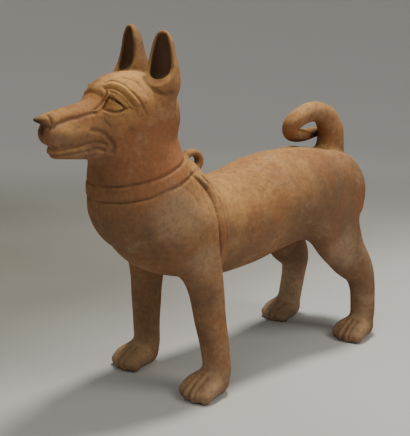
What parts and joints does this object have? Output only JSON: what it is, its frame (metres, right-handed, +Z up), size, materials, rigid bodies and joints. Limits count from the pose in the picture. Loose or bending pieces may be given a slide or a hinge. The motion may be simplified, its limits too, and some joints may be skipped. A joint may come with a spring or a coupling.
{
  "type": "dog figure",
  "caption": "Standing terracotta dog with upright ears, long muzzle, curled tail and a modelled harness with a lead ring.",
  "frame": {"origin": "bottom centre of the box round the whole figure, on the floor between the four paws", "axes": "+Z up, -Y the way the dog looks, +X the dog's left side"},
  "size_m": [0.2616, 0.7724, 0.6157],
  "materials": {
    "terracotta": "unglazed fired clay, burnished and worn"
  },
  "bodies": {
    "root": {"dog_figure": "terracotta"}
  },
  "joints": []
}
